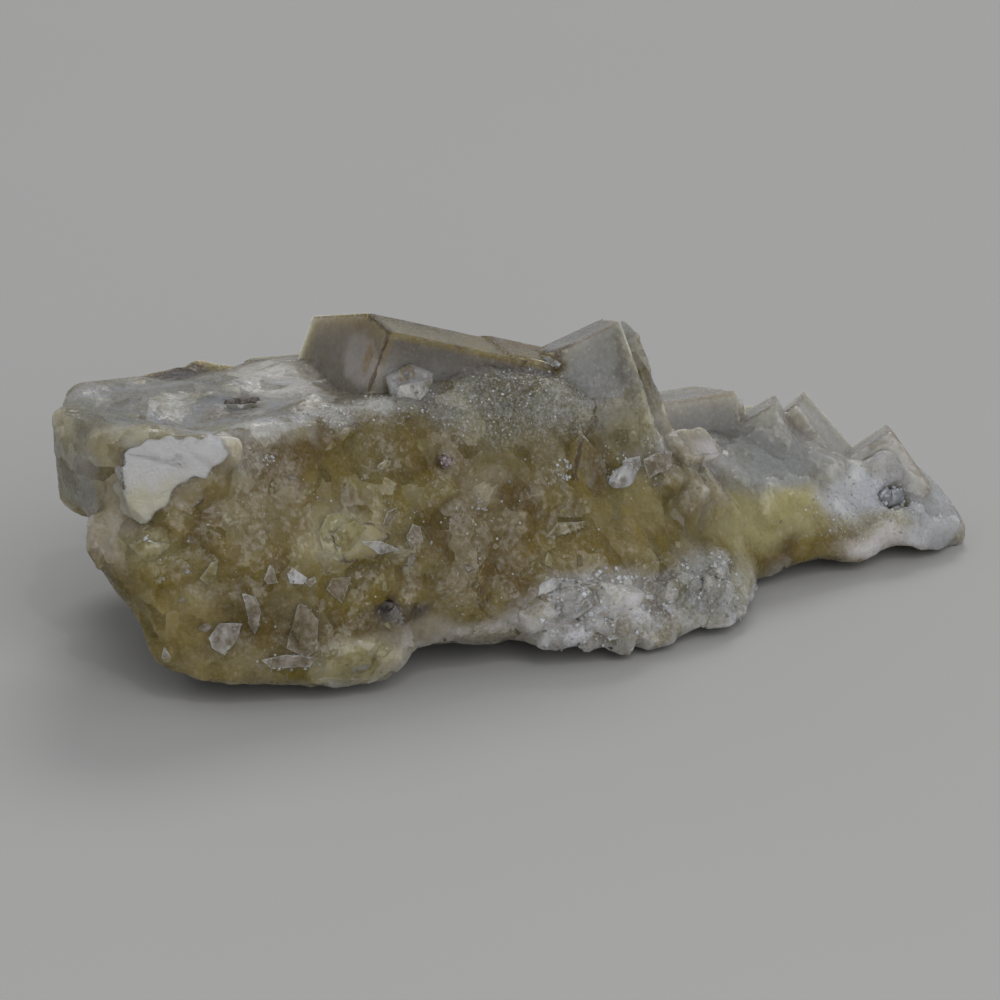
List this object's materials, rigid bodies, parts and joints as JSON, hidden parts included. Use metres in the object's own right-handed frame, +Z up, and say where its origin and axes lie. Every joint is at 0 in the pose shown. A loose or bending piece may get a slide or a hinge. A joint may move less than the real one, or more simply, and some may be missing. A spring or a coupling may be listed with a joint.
{
  "type": "fluorite specimen with pyrite",
  "caption": "Rough hand specimen: a broken plate of yellow-grey fluorite cubes grown together, with small pyrite grains, lying on its flat underside.",
  "frame": {"origin": "a point of the largest flat patch of the underside, on which the specimen rests", "axes": "+X along the length of the plate, from its thick end to its thin tip; -Y is the way the broken face looks; +Z is up, the way the crystals on the crest point"},
  "size_m": [0.0776, 0.0368, 0.026],
  "materials": {
    "fluorite_stone": "translucent yellow-grey crystal with a vitreous lustre, clearer at the crystal tips",
    "pyrite_metal": "tarnished dark metallic lustre with pale yellow glints"
  },
  "bodies": {
    "root": {"fluorite": "fluorite_stone", "pyrite_front_streak": "pyrite_metal", "pyrite_right_spot": "pyrite_metal", "pyrite_upper_speck": "pyrite_metal", "pyrite_crest_sliver": "pyrite_metal"}
  },
  "joints": []
}
